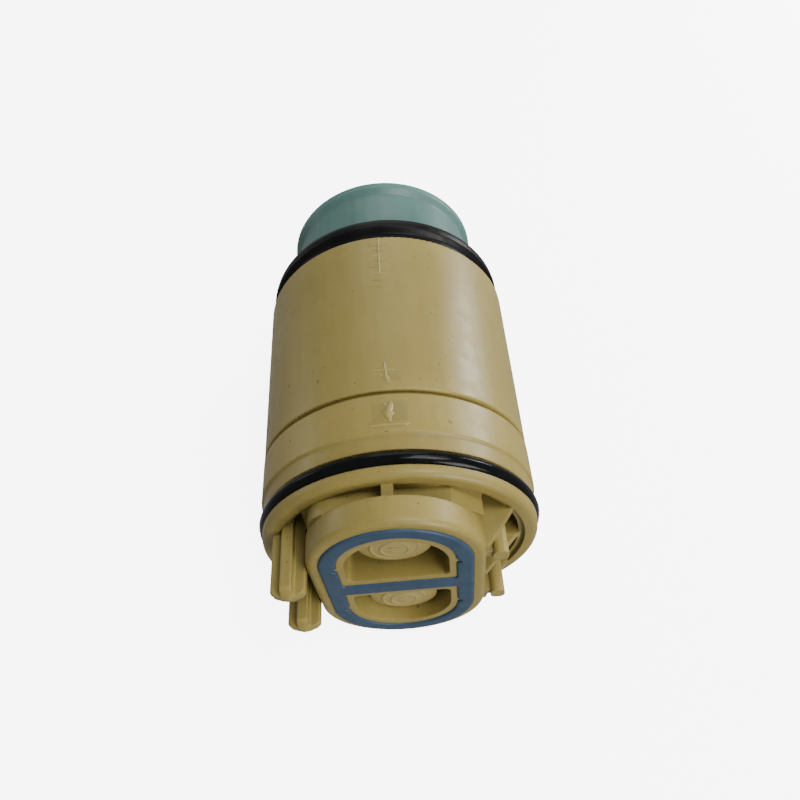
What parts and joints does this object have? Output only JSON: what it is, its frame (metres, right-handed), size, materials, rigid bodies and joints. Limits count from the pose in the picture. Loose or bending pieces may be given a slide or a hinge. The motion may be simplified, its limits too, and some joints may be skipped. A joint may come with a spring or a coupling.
{
  "type": "diverter valve cartridge",
  "caption": "Round insert cartridge that diverts water from an open rotor cup to either of two D-shaped ports behind a theta-shaped seal.",
  "frame": {"origin": "centre of the port seal's front face, on the cartridge axis", "axes": "+Y along the cartridge axis, from the port face to the open operating end; +Z from the axis to the upper port; +X to the side of the short locating pins"},
  "size_m": [0.0428, 0.075, 0.0428],
  "materials": {
    "beige_plastic": "satin",
    "blue_rubber": "satin",
    "black_rubber": "gloss",
    "grey_rubber": "matte",
    "ceramic": "polished",
    "teal_plastic": "satin",
    "white_plastic": "satin",
    "spring_steel": "satin"
  },
  "bodies": {
    "cartridge_body": {"base_block": "beige_plastic", "outer_shell": "beige_plastic", "port_seal": "blue_rubber", "base_o_ring": "black_rubber", "shell_joint_o_ring": "black_rubber", "end_seal_ring": "black_rubber", "disc_gasket": "grey_rubber", "fixed_disc": "ceramic", "thrust_washer": "white_plastic", "valve_seat_upper": "white_plastic", "poppet_guide_upper": "white_plastic", "poppet_spring_upper": "spring_steel", "valve_seat_lower": "white_plastic", "poppet_guide_lower": "white_plastic", "poppet_spring_lower": "spring_steel"},
    "rotor": {"rotor_cup": "teal_plastic", "moving_disc": "ceramic", "rotor_o_ring_inner": "black_rubber", "rotor_o_ring_outer": "black_rubber"},
    "valve_upper": {"poppet_upper": "beige_plastic", "poppet_seal_upper": "grey_rubber", "spring_keeper_upper": "white_plastic"},
    "valve_lower": {"poppet_lower": "beige_plastic", "poppet_seal_lower": "grey_rubber", "spring_keeper_lower": "white_plastic"}
  },
  "joints": [
    {"name": "rotor_turn", "type": "hinge", "parent": "cartridge_body", "child": "rotor", "pos_m": [0, 0.045, 0], "axis": [0, 1, 0], "range_deg": [0, 90]},
    {"name": "poppet_upper_lift", "type": "slide", "parent": "cartridge_body", "child": "valve_upper", "axis": [0, -1, 0], "range_m": [0, 0.0018], "stiffness_N_per_m": 150, "springref_m": -0.0018, "deforming": ["poppet_spring_upper"]},
    {"name": "poppet_lower_lift", "type": "slide", "parent": "cartridge_body", "child": "valve_lower", "axis": [0, -1, 0], "range_m": [0, 0.0018], "stiffness_N_per_m": 150, "springref_m": -0.0018, "deforming": ["poppet_spring_lower"]}
  ]
}
